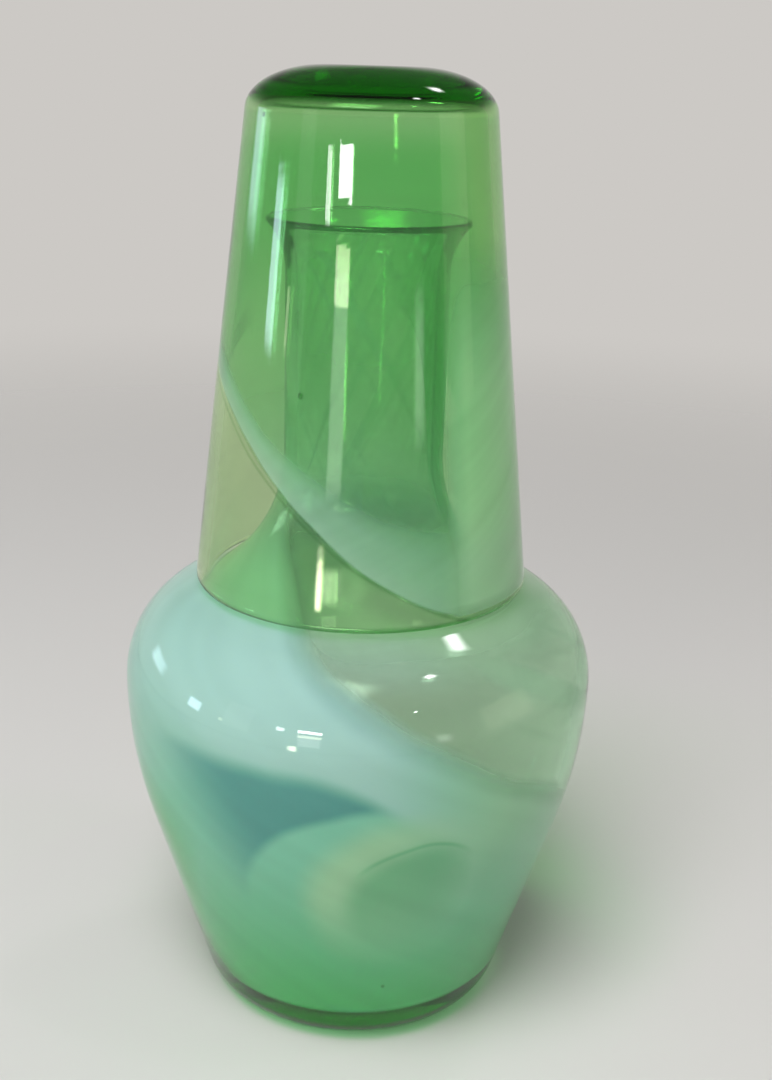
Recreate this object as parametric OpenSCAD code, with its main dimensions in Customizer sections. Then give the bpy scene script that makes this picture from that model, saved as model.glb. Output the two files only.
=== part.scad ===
// Bedside carafe of green glass with an upturned tumbler over its neck.
// An opal glass swirl lines the wall of each vessel.
// Millimetres, +Z up, origin at the middle of the carafe's foot.

/* [Carafe body] */
// Widest diameter of the body
body_d = 102; // [96:1:120]
// Height of the widest line above the foot
belly_h = 75.5; // [66:0.5:90]
// Meridian radius of the long curve below the widest line
belly_round = 102; // [90:1:125]
// Meridian radius of the shoulder above the widest line
shoulder_round = 21; // [16:0.5:22]
// Diameter of the flat foot
foot_d = 52; // [44:1:60]
// Radius of the heel between the foot and the wall
heel_round = 9; // [6:0.5:12]
// Slope of the straight shoulder from the horizontal, in degrees
shoulder_slope = 26; // [22:0.5:40]
// Thickness of the wall
carafe_wall = 2.6; // [2:0.1:4]
// Thickness of the solid base
carafe_base = 7; // [5:0.5:10]
// Radius inside, between the floor and the wall
inner_heel_round = 7; // [4:0.5:10]

/* [Carafe neck] */
// Outside diameter of the straight neck
neck_d = 33.6; // [28:0.2:38]
// Radius of the sweep from the shoulder into the neck
neck_root_round = 32; // [20:0.5:38]
// Length of the straight neck
neck_straight = 37; // [25:1:60]
// Meridian radius of the flare under the lip
flare_round = 14; // [10:0.5:30]
// Distance the lip stands out from the neck
lip_flare = 4; // [1.5:0.1:5]
// Thickness of the lip
lip_t = 1.4; // [1:0.1:2.6]

/* [Tumbler] */
// Outside diameter of the rim
tumbler_rim_d = 71; // [66:0.5:78]
// Slope of the wall from the vertical, in degrees
tumbler_taper = 6.4; // [4:0.1:7]
// Thickness of the wall
tumbler_wall = 2.3; // [1.8:0.1:3.5]
// Thickness of the solid base
tumbler_base = 5.8; // [5:0.2:10]
// Width of the rounding around the base
tumbler_heel_w = 16; // [8:0.5:22]
// Height of the rounding around the base
tumbler_heel_h = 8.5; // [5:0.5:10]
// Least radius of the flat middle of the base
base_flat_least = 2; // [1:0.5:6]
// Radius inside, between the floor and the wall
tumbler_floor_round = 3; // [2:0.5:6]
// Gap between the lip of the carafe and the floor of the tumbler
lip_gap = 22.7; // [10:0.1:40]
// Gap between the rim of the tumbler and the shoulder it rests on
seat_gap = 0.3; // [0.1:0.05:0.6]

/* [Opal swirl] */
// Thickness of the opal layer
opal_t = 0.6; // [0.4:0.1:1]
// Gap between the opal layer and the wall it lines
opal_gap = 0.1; // [0.1:0.05:0.3]
// Least height of a swirl at its two ends
swirl_tip = 3; // [1:0.5:8]
// Height of one full turn of the swirl
swirl_turn_h = 172.8; // [144:0.6:216]
// Angle where the upper edge of the carafe's swirl leaves the shoulder, in degrees
carafe_swirl_angle = 256; // [200:1:300]
// Angle that the carafe's swirl spans at one height, in degrees
carafe_swirl_span_angle = 150; // [90:1:170]
// Angle where the tumbler's swirl leaves the base, in degrees
tumbler_swirl_angle = 100; // [60:1:140]
// Angle that the tumbler's swirl spans at one height, in degrees
tumbler_swirl_span_angle = 42; // [20:1:90]

/* [Colours] */
// Green glass
glass_colour = [0.30, 0.62, 0.34, 0.45];
// Opal glass
opal_colour = [0.72, 0.86, 0.80, 0.85];

/* [Hidden] */
$fn = 96;

body_r = body_d / 2;
neck_r = neck_d / 2;

// Centres of the arcs of the carafe's outline, as radius and height
heel_c = [foot_d / 2, heel_round];
belly_c = [body_r - belly_round, belly_h];
shoulder_c = [body_r - shoulder_round, belly_h];

// Slope of the straight wall that touches the heel and the belly
wall_run = belly_c - heel_c;
wall_a = acos((heel_round - belly_round) / norm(wall_run)) - atan2(wall_run[1], wall_run[0]);

// Straight shoulder that touches the shoulder's curve and the sweep into the neck
shoulder_a = 90 - shoulder_slope;
curves_r = shoulder_round + neck_root_round;
shoulder_l = (shoulder_c[0] + curves_r * cos(shoulder_a) - neck_r - neck_root_round) / sin(shoulder_a);
root_c = [neck_r + neck_root_round, belly_h + curves_r * sin(shoulder_a) + shoulder_l * cos(shoulder_a)];

// Flare and rounded lip
lip_r = lip_t / 2;
flare_a = acos((flare_round - lip_flare + lip_r) / (flare_round + lip_r));
flare_c = [neck_r + flare_round, root_c[1] + neck_straight];
lip_c = flare_c + (flare_round + lip_r) * [-cos(flare_a), sin(flare_a)];
carafe_h = lip_c[1] + lip_r;

// Inside corner of the carafe: its arc touches the floor and the sloping wall
wall_n = [cos(wall_a), -sin(wall_a)];
inner_wall_k = wall_n * belly_c + belly_round - carafe_wall;
inner_heel_z = carafe_base + inner_heel_round;
inner_heel_c = [(inner_wall_k - inner_heel_round - wall_n[1] * inner_heel_z) / wall_n[0], inner_heel_z];

// Tumbler: its rim rests on the shoulder and its floor clears the lip
rim_round = tumbler_wall / 2;
rim_x = tumbler_rim_d / 2 - rim_round;
rim_c = [rim_x, seat_z(rim_x, rim_round + seat_gap)];
tumbler_floor_z = carafe_h + lip_gap;
tumbler_top_z = tumbler_floor_z + tumbler_base;
tumbler_n = [cos(tumbler_taper), sin(tumbler_taper)];
tumbler_mid_k = tumbler_n * rim_c;
heel_top_z = tumbler_top_z - tumbler_heel_h;
heel_top_r = (tumbler_mid_k + rim_round - tumbler_n[1] * heel_top_z) / tumbler_n[0];
// Rounding of the base, which leaves a flat middle
heel_w = min(tumbler_heel_w, heel_top_r - base_flat_least);
heel_reach = norm([heel_w * tumbler_n[0], tumbler_heel_h * tumbler_n[1]]);
base_flat_r = heel_top_r - heel_reach / tumbler_n[0];
heel_from_a = atan(tumbler_heel_h / heel_w * tan(tumbler_taper));
floor_arc_z = tumbler_floor_z - tumbler_floor_round;
floor_arc_x = (tumbler_mid_k - rim_round - tumbler_floor_round - tumbler_n[1] * floor_arc_z) / tumbler_n[0];

// Heights between which each swirl lies
carafe_swirl_low = inner_heel_z;
carafe_swirl_high = belly_h + (shoulder_round - carafe_wall) * sin(shoulder_a);
tumbler_swirl_low = rim_c[1] + 2;
tumbler_swirl_high = floor_arc_z;
// Fall of a swirl for each degree it turns
swirl_fall = swirl_turn_h / 360;
// Steps of a swirl along its turn and across its height
swirl_steps = 54;
swirl_rows = 12;

// Points of an arc, from the step given by first
function arc(c, r, from_a, to_a, steps, first = 0) =
    [for (i = [first:steps]) let (a = from_a + (to_a - from_a) * i / steps) c + r * [cos(a), sin(a)]];

// Points of the inside of the flare, from the lip to the neck: the wall thins towards the lip
function flare_inside(steps) =
    [for (i = [1:steps]) let (a = 180 - flare_a + flare_a * i / steps, t = lip_t + (carafe_wall - lip_t) * i / steps)
        flare_c + (flare_round + t) * [cos(a), sin(a)]];

// Height of a ring of radius r that stands off the shoulder by e
function seat_z(r, e) =
    let (
        high = shoulder_c + (shoulder_round + e) * [cos(shoulder_a), sin(shoulder_a)],
        low = root_c - (neck_root_round - e) * [cos(shoulder_a), sin(shoulder_a)]
    )
    r >= high[0] ? belly_h + sqrt(pow(shoulder_round + e, 2) - pow(r - shoulder_c[0], 2)) :
    r <= low[0] ? root_c[1] - sqrt(pow(neck_root_round - e, 2) - pow(root_c[0] - r, 2)) :
    high[1] + (high[0] - r) / tan(shoulder_a);

// Radius of the carafe's inside at height z, between its heel and its shoulder
function carafe_inside(z) =
    z > belly_h ? shoulder_c[0] + sqrt(pow(shoulder_round - carafe_wall, 2) - pow(z - belly_h, 2)) :
    z > belly_h - (belly_round - carafe_wall) * sin(wall_a) ?
        belly_c[0] + sqrt(pow(belly_round - carafe_wall, 2) - pow(z - belly_h, 2)) :
    (inner_wall_k - wall_n[1] * z) / wall_n[0];

// Radius of the tumbler's inside at height z
function tumbler_inside(z) = (tumbler_mid_k - rim_round - tumbler_n[1] * z) / tumbler_n[0];

// Height at angle a of a swirl edge that leaves the height high at angle start
function swirl_edge(a, start, high) = high - swirl_fall * (a - start);

// Rows of a swirl as angle, low height and high height
function swirl_band(start, span, low, high) =
    let (
        fall_a = (high - low) / swirl_fall,
        tip_a = swirl_tip / swirl_fall,
        turn = span + fall_a - 2 * tip_a
    )
    [for (i = [0:swirl_steps]) let (a = start + tip_a + turn * i / swirl_steps)
        [a, max(low, swirl_edge(a, start, high)), min(high, swirl_edge(a, start + span, high))]];

carafe_band = swirl_band(
    carafe_swirl_angle - carafe_swirl_span_angle, carafe_swirl_span_angle, carafe_swirl_low, carafe_swirl_high
);
tumbler_band = swirl_band(
    tumbler_swirl_angle, tumbler_swirl_span_angle, tumbler_swirl_low, tumbler_swirl_high
);

// Corner points of a swirl: angle, height and outer radius of each
function carafe_swirl_grid() =
    [for (b = carafe_band) [for (j = [0:swirl_rows]) let (z = b[1] + (b[2] - b[1]) * j / swirl_rows)
        [b[0], z, carafe_inside(z) - opal_gap]]];

function tumbler_swirl_grid() =
    [for (b = tumbler_band) [for (j = [0:swirl_rows]) let (z = b[1] + (b[2] - b[1]) * j / swirl_rows)
        [b[0], z, tumbler_inside(z) - opal_gap]]];

function ring_point(g, inset) = [(g[2] - inset) * cos(g[0]), (g[2] - inset) * sin(g[0]), g[1]];

// Thin layer between the grid's surface and the same surface set in by opal_t
module opal_layer(grid) {
    m = swirl_rows + 1;
    n = len(grid) * m;
    points = concat(
        [for (row = grid) for (g = row) ring_point(g, 0)],
        [for (row = grid) for (g = row) ring_point(g, opal_t)]
    );
    last = (len(grid) - 1) * m;
    cells = [for (i = [0:len(grid) - 2]) for (j = [0:m - 2]) i * m + j];
    columns = [for (i = [0:len(grid) - 2]) i * m];
    quads = concat(
        [for (k = cells) [k, k + 1, k + m + 1, k + m]],
        [for (k = cells) [n + k, n + k + m, n + k + m + 1, n + k + 1]],
        [for (k = columns) [k, k + m, n + k + m, n + k]],
        [for (c = columns) let (k = c + m - 1) [k + m, k, n + k, n + k + m]],
        [for (j = [0:m - 2]) [j + 1, j, n + j, n + j + 1]],
        [for (j = [0:m - 2]) let (k = last + j) [k, k + 1, n + k + 1, n + k]]
    );
    polyhedron(points, [for (q = quads) each [[q[0], q[1], q[2]], [q[0], q[2], q[3]]]], convexity = 8);
}

module carafe_section() {
    polygon(concat(
        [[0, 0]],
        arc(heel_c, heel_round, -90, -wall_a, 10),
        arc(belly_c, belly_round, -wall_a, 0, 14),
        arc(shoulder_c, shoulder_round, 0, shoulder_a, 12, 1),
        arc(root_c, neck_root_round, 180 + shoulder_a, 180, 12),
        arc(flare_c, flare_round, 180, 180 - flare_a, 8),
        arc(lip_c, lip_r, -flare_a, 180 - flare_a, 10, 1),
        flare_inside(8),
        arc(root_c, neck_root_round + carafe_wall, 180, 180 + shoulder_a, 12),
        arc(shoulder_c, shoulder_round - carafe_wall, shoulder_a, 0, 12),
        arc(belly_c, belly_round - carafe_wall, 0, -wall_a, 14, 1),
        arc(inner_heel_c, inner_heel_round, -wall_a, -90, 8),
        [[0, carafe_base]]
    ));
}

module tumbler_section() {
    polygon(concat(
        [[0, tumbler_top_z]],
        [for (i = [0:12]) let (a = 90 + (heel_from_a - 90) * i / 12)
            [base_flat_r + heel_w * cos(a), heel_top_z + tumbler_heel_h * sin(a)]],
        arc(rim_c, rim_round, tumbler_taper, tumbler_taper - 180, 12),
        arc([floor_arc_x, floor_arc_z], tumbler_floor_round, tumbler_taper, 90, 8),
        [[0, tumbler_floor_z]]
    ));
}

// Carafe body, neck and lip
module carafe_glass() {
    color(glass_colour) rotate_extrude() carafe_section();
}

// Broad opal band that winds down the inside of the carafe
module carafe_opal_swirl() {
    color(opal_colour) opal_layer(carafe_swirl_grid());
}

// Upturned tumbler
module tumbler_glass() {
    color(glass_colour) rotate_extrude() tumbler_section();
}

// Opal streak that winds down the inside of the tumbler
module tumbler_opal_swirl() {
    color(opal_colour) opal_layer(tumbler_swirl_grid());
}

carafe_glass();
carafe_opal_swirl();
tumbler_glass();
tumbler_opal_swirl();
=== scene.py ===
"""Dresses a bedside carafe and its upturned tumbler: green glass with an opal swirl in each wall."""
import math
from typing import NamedTuple

import bmesh
import bpy
from bpy.props import FloatProperty, FloatVectorProperty, IntProperty, PointerProperty
from mathutils import Matrix, Vector


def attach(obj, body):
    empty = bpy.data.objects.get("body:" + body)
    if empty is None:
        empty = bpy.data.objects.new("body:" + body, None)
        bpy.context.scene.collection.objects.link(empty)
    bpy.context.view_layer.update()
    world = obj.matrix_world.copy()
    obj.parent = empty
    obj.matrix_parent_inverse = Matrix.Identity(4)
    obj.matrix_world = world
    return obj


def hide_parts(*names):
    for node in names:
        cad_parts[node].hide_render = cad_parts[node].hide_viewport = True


bl_info = {
    "name": "Bedside carafe with tumbler",
    "version": (1, 0, 0),
    "blender": (4, 5, 0),
    "location": "3D View > Sidebar > Carafe",
    "description": "Blown green glass carafe and tumbler with opal swirls",
    "category": "Object",
}

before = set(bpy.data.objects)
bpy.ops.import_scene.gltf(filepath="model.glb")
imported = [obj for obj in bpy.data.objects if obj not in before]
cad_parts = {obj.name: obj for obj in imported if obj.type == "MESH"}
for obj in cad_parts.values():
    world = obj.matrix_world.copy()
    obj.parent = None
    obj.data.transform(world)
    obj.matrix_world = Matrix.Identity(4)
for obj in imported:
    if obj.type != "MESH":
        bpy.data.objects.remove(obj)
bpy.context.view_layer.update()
MM = 0.001
TURN = 2 * math.pi
QUARTER = math.pi / 2
FULL_CIRCLE = 360
ON_AXIS = 1e-7
NOISE_MEAN = 0.5

# Places of a Mix node's colour sockets, whose names repeat
MIX_FACTOR = 0
MIX_A = 6
MIX_B = 7
MIX_RESULT = 2

# Steps along each kind of stretch in an outline
CURVE_STEPS = 30
HEEL_STEPS = 20
INNER_HEEL_STEPS = 16
WALL_STEPS = 24
EDGE_STEPS = 14
OPAL_STEPS = 40

# Waves of a blown wall: share of the waver, waves in a turn, radians per metre up, phase
WAVES = ((0.3, 2, 30, 0.6), (0.2, 3, -47, 2.1))
WAVER_MEAN = 0.5
WAVER_RADIUS = 50 * MM

# Seeds in the glass: degrees from the front, height and radius in millimetres
CARAFE_SEEDS = ((10.3, 18.0, 0.35),)
TUMBLER_SEEDS = ((-23.9, 142.3, 0.5), (-54.5, 192.3, 0.35))
SEED_DEPTH = 0.75 * MM
SEED_STRETCH = 1.3

# Streaks in the glass: how fine they are round a turn, and their length in millimetres up
STREAK_FINENESS = 4.5
STREAK_LENGTH = 60

# Clear glass left between an opal layer and the edge of its vessel
OPAL_LIP_GAP = 4 * MM
OPAL_RIM_GAP = 0.3 * MM

# Studio
FLOOR_DROP = 0.1 * MM
FLOOR_SEGMENTS = 96
FLOOR_FADE = (0.98, 0.2)
HORIZON_FADE = (0.06, 0.5)
SENSOR_WIDTH = 36
LIT_POINT = Vector((0, 0, 0.13))
WHITE = (1.0, 1.0, 1.0)
SKY = (0.66, 0.88, 1.0)
SUN = (1.0, 0.97, 0.72)
SHADOW_TINT = (0.87, 0.96, 0.88)


def length(name, description, default_mm):
    """A length property whose default is given in millimetres."""
    return FloatProperty(name=name, description=description, default=default_mm * MM, min=0.0, unit="LENGTH")


def angle(name, description, default_degrees):
    """An angle property whose default is given in degrees."""
    default = math.radians(default_degrees)
    return FloatProperty(name=name, description=description, default=default, subtype="ANGLE")


def share(name, description, default):
    """A share from 0 to 1."""
    limits = {"min": 0.0, "max": 1.0}
    return FloatProperty(name=name, description=description, default=default, subtype="FACTOR", **limits)


def linear(value):
    """One display channel from 0 to 255 as linear light."""
    v = value / 255
    return v / 12.92 if v <= 0.04045 else ((v + 0.055) / 1.055) ** 2.4


def colour(name, description, red, green, blue):
    """A colour property whose default is given in display channels."""
    return FloatVectorProperty(
        name=name,
        description=description,
        default=(linear(red), linear(green), linear(blue)),
        size=3,
        min=0,
        max=1,
        subtype="COLOR",
    )


class CarafeSizes(bpy.types.PropertyGroup):
    """Sizes of the carafe."""

    body: length("Body", "Widest diameter of the body", 102)
    belly_height: length("Belly height", "Height of the widest line", 75.5)
    belly_round: length("Belly curve", "Meridian radius below the widest line", 102)
    shoulder_round: length("Shoulder curve", "Meridian radius above the widest line", 21)
    shoulder_slope: angle("Shoulder slope", "Slope of the straight shoulder from the horizontal", 26)
    foot: length("Foot", "Diameter of the flat foot", 52)
    heel_round: length("Heel", "Radius between the foot and the wall", 9)
    wall: length("Wall", "Thickness of the wall", 2.6)
    base: length("Base", "Thickness of the solid base", 7)
    inner_heel: length("Inner heel", "Radius inside, between the floor and the wall", 7)
    neck: length("Neck", "Outside diameter of the straight neck", 33.6)
    neck_root: length("Neck root", "Radius of the sweep from the shoulder into the neck", 32)
    neck_straight: length("Neck length", "Length of the straight neck", 37)
    flare_round: length("Flare", "Meridian radius of the flare under the lip", 14)
    lip_flare: length("Lip overhang", "Distance the lip stands out from the neck", 4)
    lip: length("Lip", "Thickness of the lip", 1.4)


class TumblerSizes(bpy.types.PropertyGroup):
    """Sizes of the tumbler."""

    rim: length("Rim", "Outside diameter of the rim", 71)
    taper: angle("Taper", "Slope of the wall from the vertical", 6.4)
    wall: length("Wall", "Thickness of the wall", 2.3)
    base: length("Base", "Thickness of the solid base", 5.8)
    heel_width: length("Heel width", "Width of the rounding around the base", 16)
    heel_height: length("Heel height", "Height of the rounding around the base", 8.5)
    floor_round: length("Floor curve", "Radius inside, between the floor and the wall", 3)
    lip_gap: length("Lip gap", "Gap between the lip of the carafe and the floor of the tumbler", 22.7)
    seat_gap: length("Seat gap", "Gap between the rim and the shoulder it rests on", 0.3)


class GlassFinish(bpy.types.PropertyGroup):
    """Colours and finish of both glasses."""

    carafe_depth_colour: colour("Carafe depth colour", "Colour of light deep in the carafe", 164, 240, 184)
    carafe_depth: FloatProperty(name="Carafe depth", description="Absorption per metre", default=150, min=0)
    tumbler_depth_colour: colour("Tumbler depth colour", "Colour of light deep in the tumbler", 165, 231, 78)
    tumbler_depth: FloatProperty(name="Tumbler depth", description="Absorption per metre", default=130, min=0)
    clear_tint: colour("Clear tint", "Tint of the palest glass", 250, 252, 244)
    grey_tint: colour("Grey tint", "Tint of the clear part of the carafe", 246, 244, 243)
    green_tint: colour("Green tint", "Tint of the greenest glass", 179, 233, 183)
    neck_tint: colour("Neck tint", "Tint of the carafe's neck", 254, 255, 255)
    foot_tint: colour("Foot tint", "Tint of the thick foot of the carafe", 50, 238, 60)
    base_tint: colour("Base tint", "Tint of the thick base of the tumbler", 89, 190, 79)
    # Olive tint is a painted reflection: a lighter olive band on the tumbler's upper right.
    olive_reflection_tint: colour("Olive tint", "Tint of the upper right of the tumbler", 203, 237, 190)
    line_tint: colour("Line tint", "Tint of the line along the edge of the clear glass", 130, 190, 120)
    opal_white: colour("Opal white", "Colour of the densest opal", 206, 213, 236)
    opal_mint: colour("Opal mint", "Colour of the broad opal", 163, 206, 207)
    # Opal green also darkens the carafe's lower body, partly as painted shade.
    opal_green: colour("Opal green", "Colour of the opal near a thick base", 110, 191, 140)
    opal_teal: colour("Opal teal", "Colour of the thinnest opal", 96, 158, 182)
    opal_cream: colour("Opal cream", "Colour of the warm ring in the swirl", 212, 218, 200)
    # Opal moss also serves as painted shade on the carafe's lower right.
    opal_moss: colour("Opal moss", "Colour of the core of the swirl", 122, 182, 152)
    opal_veil: colour("Opal veil", "Colour of the veil on the tumbler", 204, 231, 219)
    opal_layer: length("Opal layer", "Thickness of the opal within the wall", 0.4)
    opal_depth: length("Opal depth", "Depth of the opal behind the inner face of the wall", 0.5)
    waver: length("Waver", "How far the blown wall wanders from a true circle", 0.25)
    segments: IntProperty(name="Segments", description="Steps round each vessel", default=192, min=48)


class StageSettings(bpy.types.PropertyGroup):
    """Camera and studio."""

    distance: length("Camera distance", "Distance of the camera in front of the axis", 280.35)
    height: length("Camera height", "Height of the camera", 201.14)
    pitch: angle("Camera pitch", "How far the camera looks down", 18.974)
    yaw: angle("Camera yaw", "How far the camera looks to the right", 1.078)
    roll: angle("Camera roll", "How far the camera leans", 1.747)
    lens: FloatProperty(name="Lens", description="Focal length in millimetres", default=45.74, min=1)
    floor_colour: colour("Floor", "Colour of the floor", 216, 214, 212)
    floor_reach: length("Floor reach", "Radius of the floor", 900)
    background: colour("Background", "Colour of the background", 204, 201, 197)
    ceiling: share("Ceiling", "Brightness overhead as a share of the background", 0.2)


class CarafeTints:
    """Where the carafe's glass changes.

    A span is (0 at, 1 at), in degrees from the front or in millimetres up. A floor span is counted from the
    vessel's floor, and the other heights from the ground. The classes below keep to this too.
    """

    waver = 20
    waver_scale = 18
    foot_height = (30, 4)
    neck_height = (96, 110)
    base_floor = (3, -1)
    ripple_scale = 110
    ripple_share = 0.25
    ripple_low = (100, 125)
    ripple_high = (168, 160)


class CarafeSwirl:
    """Where the carafe's opal changes, and how strongly each of its parts shows.

    A patch is the angle and height of its middle, its radius and its blur. The band and each edge are counted
    on the helix, which is the height with the climb of the swirl taken off. Degree is the width of one degree
    on the belly.
    """

    waver = 6
    waver_scale = 30
    degree = 0.855
    lead = 171
    helix_low = -20
    density = 0.95
    streak_share = 0.2
    band_high = (89.8, 81.2)
    band_low = (-20, -2)
    band_height = (122, 100)
    band_floor = (1.6, 3.2)
    brow_slope = 0.5
    brow_lift = 3
    brow_blend = 5
    brow_low = 70.8
    brow_high = 76.2
    spread_turn = (-26, -56)
    spread_low = -16
    spread_high = 10
    ribbon_turn = (38, 0)
    ribbon_share = 0.9
    # The wedge is thin teal opal; its crisp upper edge is a painted reflection of a dark edge in the
    # surroundings.
    wedge_slope = 1.35
    wedge_drop = 24.5
    wedge_steep = (-32, 8)
    wedge_painted_edge = (75.5, 71)
    wedge_turn = (16, 2)
    wedge_share = 0.85
    wedge_loss = 0.15
    lobe = (4.1, 38, 28.5, 1.6)
    curl_height = (22, 48)
    ring = (14, 42, 22, 4)
    ring_turn = (40, 4)
    ring_share = 0.72
    core = (16.4, 42, 15.3, 3.5)
    core_turn = (40, 18)
    core_share = 0.75
    crest = (16.4, 42, 16, 0.9)
    crest_turn = (32, 22)
    crest_height = (50, 56)
    crest_share = 2.4
    # Greener towards the foot: partly the green of the thick foot, partly painted shade.
    foot_green_and_shade_height = (60, 10)
    side_turn = (-36, -60)
    side_height = (66, 44)
    side_share = 0.95
    sunny_turn = (8, 40)
    sunny_height = (30, 60)
    sunny_share = 0.6
    # Painted shade on the lower right of the body.
    painted_shade_turn = (20, 40)
    painted_shade_height = (64, 44)
    painted_shade_share = 0.35
    fringe_edge = (79, 87)
    fringe_turn = (30, -10)
    fringe_share = 0.2
    collar_high = (118, 106)
    collar_low = (86, 97)
    collar_edge = (80, 92)
    collar_share = 0.6
    collar_haze = 0.32
    neck_low = (98, 118)
    neck_high = (168, 140)
    neck_haze = 0.07
    wisp_streaks = (0.5, 0.75)
    wisp_height = (64, 78)
    wisp_haze = 0.18


class TumblerTints:
    """Where the tumbler's glass changes. Its line and rise are counted from the edge of the clear glass."""

    waver = 6
    waver_scale = 18
    back_turn = (80, 120)
    rise_low = -1
    rise_high = 6
    rise_low_back = -12
    rise_high_back = 22
    green_height = (80, 150)
    # Painted reflection: a lighter olive band on the upper right of the tumbler.
    reflection_start = (30, 60)
    reflection_end = (140, 100)
    reflection_height = (145, 178)
    reflection_loss = 0.4
    # Painted light: a paler, less green band just under the base.
    light_under_base_low = (-11.8, -2.8)
    light_under_base_high = (-0.2, -1.2)
    light_under_base_loss = 0.45
    line_low = (-1.1, -0.3)
    line_high = (0.5, -0.3)
    line_share = 0.6
    base_floor = (-0.8, 0.8)


class TumblerSwirl:
    """Where the tumbler's opal changes, and how strongly each of its parts shows.

    The edge of the clear glass falls at one angle and climbs at another: each is given as the angle of its
    middle, its half width in degrees and half its drop in millimetres. The veil's rise is counted from it.
    """

    waver = 4
    waver_scale = 30
    lead = -110
    edge_height = 152.4
    edge_fall = (-26.3, 63.7, 30.9)
    edge_climb = (130, 20, -30.9)
    veil_rise = (-0.6, 0.8)
    front_turn = (120, 80)
    ribbon_width = 17
    ribbon_growth = 0.22
    ribbon_least = 8
    ribbon_core = 0.4
    ribbon_density = 0.42
    bright_turn = (36, -6)
    bright_share = 0.35
    milky_start = (26, 42)
    milky_end = (175, 120)
    milky_height = (178, 138)
    milky_density = 0.76
    green_height = (120, 185)
    haze_height = (150, 112)
    haze_least = 0.06
    haze_growth = 0.1
    streak_least = 0.85
    streak_share = 0.3


def arc(centre, radius, start, end, count, first=0):
    """Points of an arc as (radius, height), from the step given by first."""
    turns = [start + (end - start) * i / count for i in range(first, count + 1)]
    return [Vector((centre[0] + radius * math.cos(a), centre[1] + radius * math.sin(a))) for a in turns]


def steps(start, end, count):
    """Points between two ends, without the ends."""
    return [start.lerp(end, i / count) for i in range(1, count)]


class CarafeShape:
    """Outline of the carafe, worked out from its sizes."""

    def __init__(self, sizes):
        self.sizes = sizes
        body_r = sizes.body / 2
        neck_r = sizes.neck / 2
        self.heel_c = Vector((sizes.foot / 2, sizes.heel_round))
        self.belly_c = Vector((body_r - sizes.belly_round, sizes.belly_height))
        self.shoulder_c = Vector((body_r - sizes.shoulder_round, sizes.belly_height))
        run = self.belly_c - self.heel_c
        lean = math.atan2(run.y, run.x)
        self.wall_a = math.acos((sizes.heel_round - sizes.belly_round) / run.length) - lean
        self.shoulder_a = QUARTER - sizes.shoulder_slope
        curves = sizes.shoulder_round + sizes.neck_root
        cos_a = math.cos(self.shoulder_a)
        sin_a = math.sin(self.shoulder_a)
        straight = (self.shoulder_c.x + curves * cos_a - neck_r - sizes.neck_root) / sin_a
        root_z = sizes.belly_height + curves * sin_a + straight * cos_a
        self.root_c = Vector((neck_r + sizes.neck_root, root_z))
        lip = sizes.lip / 2
        self.flare_a = math.acos((sizes.flare_round - sizes.lip_flare + lip) / (sizes.flare_round + lip))
        self.flare_c = Vector((neck_r + sizes.flare_round, root_z + sizes.neck_straight))
        out = Vector((-math.cos(self.flare_a), math.sin(self.flare_a)))
        self.lip_c = self.flare_c + out * (sizes.flare_round + lip)
        self.height = self.lip_c.y + lip
        normal = Vector((math.cos(self.wall_a), -math.sin(self.wall_a)))
        reach = normal.dot(self.belly_c) + sizes.belly_round - sizes.wall
        heel_z = sizes.base + sizes.inner_heel
        self.inner_heel_c = Vector(((reach - sizes.inner_heel - normal.y * heel_z) / normal.x, heel_z))

    def seat(self, radius, off):
        """Height of a ring of this radius that stands off the shoulder by off."""
        reach = self.sizes.shoulder_round + off
        high_r = self.shoulder_c.x + reach * math.cos(self.shoulder_a)
        high_z = self.shoulder_c.y + reach * math.sin(self.shoulder_a)
        return high_z + (high_r - radius) / math.tan(self.shoulder_a)

    def outside(self):
        """Points from the middle of the foot up to the lip."""
        s = self.sizes
        return (
            [Vector((0, 0)), Vector((self.heel_c.x / 2, 0))]
            + arc(self.heel_c, s.heel_round, -QUARTER, -self.wall_a, HEEL_STEPS)
            + arc(self.belly_c, s.belly_round, -self.wall_a, 0, CURVE_STEPS)
            + arc(self.shoulder_c, s.shoulder_round, 0, self.shoulder_a, CURVE_STEPS, 1)
            + arc(self.root_c, s.neck_root, math.pi + self.shoulder_a, math.pi, CURVE_STEPS)
            + arc(self.flare_c, s.flare_round, math.pi, math.pi - self.flare_a, EDGE_STEPS)
        )

    def lip(self):
        """Points round the lip."""
        return arc(self.lip_c, self.sizes.lip / 2, -self.flare_a, math.pi - self.flare_a, EDGE_STEPS, 1)

    def flare_inside(self, off):
        """Points of the flare's inside from the lip down, set in by off: the wall thins towards the lip."""
        s = self.sizes
        out = []
        for i in range(1, EDGE_STEPS + 1):
            along = i / EDGE_STEPS
            turn = math.pi - self.flare_a * (1 - along)
            reach = s.flare_round + s.lip + (s.wall - s.lip) * along + off
            out.append(self.flare_c + reach * Vector((math.cos(turn), math.sin(turn))))
        return out

    def inside(self, off=0.0):
        """Points from the lip down to the middle of the floor, set in from the wall by off."""
        s = self.sizes
        deep = s.wall + off
        return (
            self.flare_inside(off)
            + arc(self.root_c, s.neck_root + deep, math.pi, math.pi + self.shoulder_a, CURVE_STEPS)
            + arc(self.shoulder_c, s.shoulder_round - deep, self.shoulder_a, 0, CURVE_STEPS)
            + arc(self.belly_c, s.belly_round - deep, 0, -self.wall_a, CURVE_STEPS, 1)
            + arc(self.inner_heel_c, s.inner_heel - off, -self.wall_a, -QUARTER, INNER_HEEL_STEPS)
            + [Vector((self.inner_heel_c.x / 2, s.base + off)), Vector((0, s.base + off))]
        )


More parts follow.
